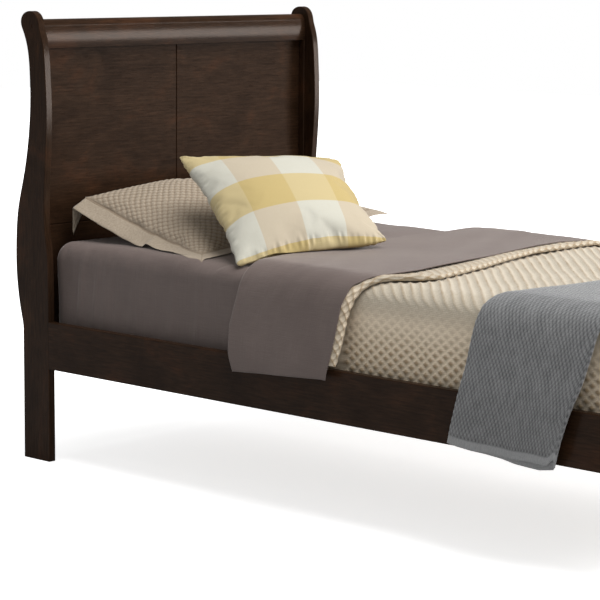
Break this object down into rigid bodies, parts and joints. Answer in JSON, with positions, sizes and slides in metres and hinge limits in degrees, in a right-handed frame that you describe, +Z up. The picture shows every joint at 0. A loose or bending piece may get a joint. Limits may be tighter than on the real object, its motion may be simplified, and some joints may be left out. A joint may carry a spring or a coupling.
{
  "type": "sleigh bed",
  "caption": "Twin sleigh bed in dark wood: scrolled headboard and footboard, side rails on hooks, slats, mattress and layered bedding with pillows that lift off.",
  "frame": {"origin": "on the floor, under the middle of the bed", "axes": "+Z up, +Y towards the headboard, X across the bed; the part's left is -X"},
  "size_m": [1.1078, 2.1147, 1.1999],
  "materials": {
    "dark_wood": "dark brown stain under satin lacquer, veneered panels",
    "slat_wood": "bare planed pine",
    "steel": "zinc plated",
    "ticking": "woven white ticking",
    "taupe_sateen": "smooth taupe cotton sateen",
    "cream_matelasse": "cream quilted matelasse",
    "grey_knit": "grey basket knit with a plain hem",
    "beige_quilting": "beige waffle quilting with a plain flange",
    "yellow_check": "yellow, cream and white check"
  },
  "bodies": {
    "bed_frame": {"head_post_left": "dark_wood", "head_post_right": "dark_wood", "head_roll": "dark_wood", "head_panel_left": "dark_wood", "head_panel_right": "dark_wood", "head_lower_rail": "dark_wood", "head_batten_left": "dark_wood", "head_batten_right": "dark_wood", "foot_post_left": "dark_wood", "foot_post_right": "dark_wood", "foot_roll": "dark_wood", "foot_panel": "dark_wood", "foot_lower_rail": "dark_wood", "foot_batten_left": "dark_wood", "foot_batten_right": "dark_wood", "side_rail_left": "dark_wood", "side_rail_right": "dark_wood", "scroll_plugs": "dark_wood", "slat_cleat_left": "slat_wood", "slat_cleat_right": "slat_wood", "slat_01": "slat_wood", "slat_02": "slat_wood", "slat_03": "slat_wood", "slat_04": "slat_wood", "slat_05": "slat_wood", "slat_06": "slat_wood", "slat_07": "slat_wood", "slat_08": "slat_wood", "slat_09": "slat_wood", "slat_10": "slat_wood", "slat_11": "slat_wood", "slat_12": "slat_wood", "rail_hook_head_left": "steel", "rail_hook_head_right": "steel", "rail_hook_foot_left": "steel", "rail_hook_foot_right": "steel", "hook_socket_head_left": "steel", "hook_socket_head_right": "steel", "hook_socket_foot_left": "steel", "hook_socket_foot_right": "steel", "slat_screws": "steel", "slat_cleat_screws": "steel", "rail_hook_screws": "steel", "hook_socket_screws": "steel"},
    "mattress_set": {"mattress": "ticking", "fitted_sheet": "taupe_sateen", "top_sheet": "taupe_sateen", "coverlet": "cream_matelasse", "throw_blanket": "grey_knit"},
    "sham": {"sham_pillow": "beige_quilting"},
    "accent": {"accent_pillow": "yellow_check"}
  },
  "joints": [
    {"name": "mattress_lift", "type": "slide", "parent": "bed_frame", "child": "mattress_set", "axis": [0, 0, 1], "range_m": [0, 0.9]},
    {"name": "sham_lift", "type": "slide", "parent": "mattress_set", "child": "sham", "axis": [0, 0, 1], "range_m": [0, 0.65]},
    {"name": "accent_lift", "type": "slide", "parent": "sham", "child": "accent", "axis": [0, 0, 1], "range_m": [0, 0.65]}
  ]
}
